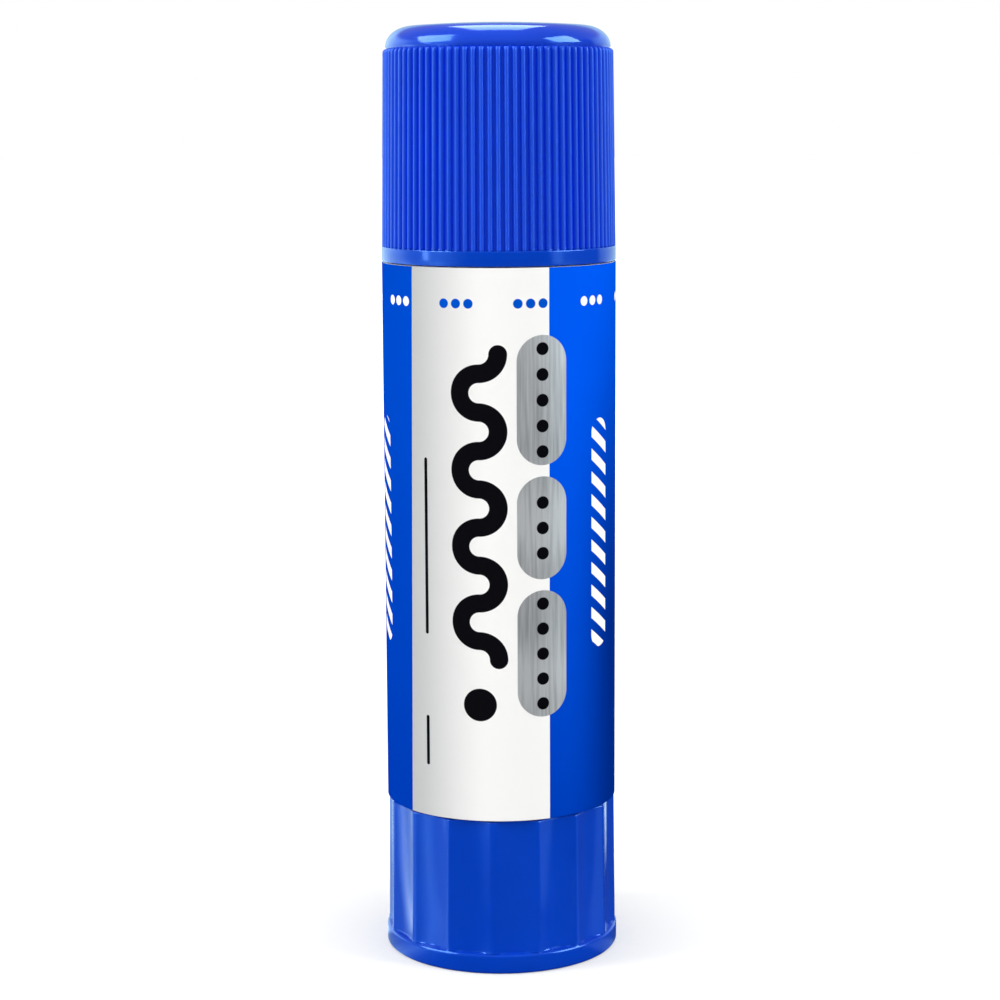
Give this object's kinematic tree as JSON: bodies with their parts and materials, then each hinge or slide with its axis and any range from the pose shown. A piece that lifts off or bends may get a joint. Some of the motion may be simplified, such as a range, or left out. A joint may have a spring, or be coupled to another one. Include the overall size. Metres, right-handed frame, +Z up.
{
  "type": "glue stick",
  "caption": "Twist-up glue stick: ribbed push-on cap, labelled barrel and fluted knob on a lead screw that feeds the glue out of the neck.",
  "frame": {"origin": "centre of the foot ring that the stick stands on", "axes": "+Z up the stick towards the cap, -Y out of the front of the label, +X to the right of the front"},
  "size_m": [0.0304, 0.0304, 0.12],
  "materials": {
    "blue_plastic": "moulded polypropylene, smooth satin gloss",
    "white_plastic": "moulded polypropylene, satin",
    "label_film": "printed plastic film, satin gloss, white panel on blue",
    "glue_paste": "firm off-white glue, slightly translucent"
  },
  "bodies": {
    "barrel_body": {"barrel": "white_plastic", "label": "label_film"},
    "knob_body": {"twist_knob": "blue_plastic", "spindle": "white_plastic"},
    "carrier_body": {"glue_carrier": "white_plastic", "glue": "glue_paste"},
    "cap_body": {"cap": "blue_plastic"}
  },
  "joints": [
    {"name": "knob_turn", "type": "hinge", "parent": "barrel_body", "child": "knob_body", "pos_m": [0, 0, 0], "axis": [0, 0, 1], "range_deg": [-3601, 721]},
    {"name": "glue_feed", "type": "slide", "parent": "barrel_body", "child": "carrier_body", "axis": [0, 0, 1], "range_m": [-0.06, 0.012]},
    {"name": "cap_pull", "type": "slide", "parent": "barrel_body", "child": "cap_body", "axis": [0, 0, 1], "range_m": [0, 0.045]}
  ],
  "couplings": [
    {"joint": "knob_turn", "follows": "glue_feed", "rad_per_m": 1047.2}
  ]
}
